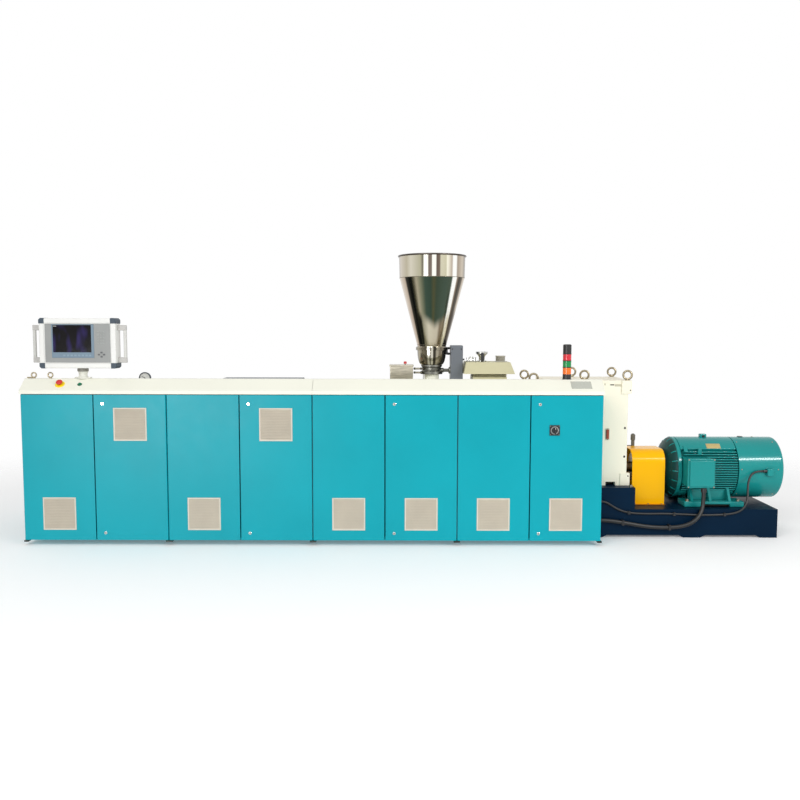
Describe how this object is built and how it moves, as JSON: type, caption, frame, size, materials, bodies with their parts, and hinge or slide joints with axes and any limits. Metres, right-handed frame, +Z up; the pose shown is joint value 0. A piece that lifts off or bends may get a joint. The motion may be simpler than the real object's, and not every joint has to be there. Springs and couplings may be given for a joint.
{
  "type": "plastic extruder",
  "caption": "Plastic extruder with a long door cabinet, console hood, feed hopper, gearbox and a finned drive motor on one base frame.",
  "frame": {"origin": "on the floor under the middle of the machine", "axes": "+X along the machine from the die end to the motor, +Z up, the doors face -Y"},
  "size_m": [6.132, 1.389, 2.294],
  "materials": {
    "navy_paint": "semi-gloss paint",
    "teal_paint": "smooth semi-gloss paint",
    "cream_paint": "fine textured paint",
    "green_paint": "glossy machine enamel",
    "yellow_paint": "glossy paint",
    "grey_paint": "semi-gloss paint",
    "vent_paint": "satin paint",
    "vent_plastic": "moulded",
    "stainless": "polished",
    "steel": "machined",
    "dark_steel": "dark satin",
    "aluminium": "anodised",
    "navy_plastic": "moulded",
    "grey_plastic": "moulded",
    "black_plastic": "moulded",
    "red_plastic": "moulded",
    "green_plastic": "moulded",
    "yellow_plastic": "moulded",
    "cable_rubber": "smooth",
    "gauge_case": "dark bezel"
  },
  "bodies": {
    "root": {"base_rails": "navy_paint", "base_cross_bars": "navy_paint", "base_top_plate": "navy_paint", "gearbox_pedestal": "navy_paint", "cabinet_floor": "teal_paint", "bay_back_walls": "grey_paint", "end_walls": "teal_paint", "bay_dividers": "grey_paint", "cabinet_deck": "cream_paint", "rear_panels": "teal_paint", "hinge_pins": "dark_steel", "console_hood": "cream_paint", "barrel": "steel", "barrel_cover": "grey_paint", "gearbox_housing": "cream_paint", "eye_bolts": "steel", "coupling": "steel", "coupling_guard": "yellow_paint", "motor_frame": "green_paint", "motor_end_shield": "green_paint", "motor_cowl": "green_paint", "motor_boxes": "green_paint", "motor_cable": "cable_rubber", "blower_cable": "cable_rubber", "cable_fittings": "black_plastic", "hopper": "stainless", "feeder_bowl": "stainless", "feeder_base": "dark_steel", "feed_motor_box": "stainless", "feed_drive_cover": "grey_paint", "vent_hood": "vent_paint", "vent_fittings": "steel", "pressure_gauge": "gauge_case", "signal_tower": "black_plastic", "panel_post": "cream_paint", "button_collars": "yellow_plastic"},
    "switch_handle": {"switch_handle": "black_plastic"},
    "stop_button": {"stop_button": "red_plastic"},
    "start_button": {"start_button": "green_plastic"},
    "operator_panel": {"panel_housing": "aluminium", "panel_corners": "navy_plastic", "panel_face": "grey_plastic", "panel_grips": "grey_plastic"},
    "door_1": {"door_1": "teal_paint", "door_1_vent": "vent_plastic"},
    "door_2": {"door_2": "teal_paint", "door_2_vent": "vent_plastic"},
    "door_3": {"door_3": "teal_paint", "door_3_vent": "vent_plastic"},
    "door_4": {"door_4": "teal_paint", "door_4_vent": "vent_plastic"},
    "door_5": {"door_5": "teal_paint", "door_5_vent": "vent_plastic"},
    "door_6": {"door_6": "teal_paint", "door_6_vent": "vent_plastic"},
    "door_7": {"door_7": "teal_paint", "door_7_vent": "vent_plastic"},
    "door_8": {"door_8": "teal_paint", "door_8_vent": "vent_plastic", "switch_plate": "black_plastic"}
  },
  "joints": [
    {"name": "door_1_hinge", "type": "hinge", "parent": "root", "child": "door_1", "pos_m": [-3.011, -0.669, 0.6], "axis": [0, 0, -1], "range_deg": [0, 110]},
    {"name": "door_2_hinge", "type": "hinge", "parent": "root", "child": "door_2", "pos_m": [-1.909, -0.669, 0.6], "axis": [0, 0, 1], "range_deg": [0, 85]},
    {"name": "door_3_hinge", "type": "hinge", "parent": "root", "child": "door_3", "pos_m": [-1.891, -0.669, 0.6], "axis": [0, 0, -1], "range_deg": [0, 85]},
    {"name": "door_4_hinge", "type": "hinge", "parent": "root", "child": "door_4", "pos_m": [-0.789, -0.669, 0.6], "axis": [0, 0, 1], "range_deg": [0, 85]},
    {"name": "door_5_hinge", "type": "hinge", "parent": "root", "child": "door_5", "pos_m": [-0.771, -0.669, 0.6], "axis": [0, 0, -1], "range_deg": [0, 85]},
    {"name": "door_6_hinge", "type": "hinge", "parent": "root", "child": "door_6", "pos_m": [0.331, -0.669, 0.6], "axis": [0, 0, 1], "range_deg": [0, 85]},
    {"name": "door_7_hinge", "type": "hinge", "parent": "root", "child": "door_7", "pos_m": [0.349, -0.669, 0.6], "axis": [0, 0, -1], "range_deg": [0, 85]},
    {"name": "door_8_hinge", "type": "hinge", "parent": "root", "child": "door_8", "pos_m": [1.451, -0.669, 0.6], "axis": [0, 0, 1], "range_deg": [0, 110]},
    {"name": "switch_turn", "type": "hinge", "parent": "door_8", "child": "switch_handle", "pos_m": [1.085, -0.69, 0.91], "axis": [0, 1, 0], "range_deg": [0, 90]},
    {"name": "panel_swivel", "type": "hinge", "parent": "root", "child": "operator_panel", "pos_m": [-2.581, -0.533, 1.36], "axis": [0, 0, 1], "range_deg": [-60, 60]},
    {"name": "stop_press", "type": "slide", "parent": "root", "child": "stop_button", "axis": [0, 0.6, -0.8], "range_m": [0, 0.004]},
    {"name": "start_press", "type": "slide", "parent": "root", "child": "start_button", "axis": [0, 0.6, -0.8], "range_m": [0, 0.003], "stiffness_N_per_m": 300}
  ]
}
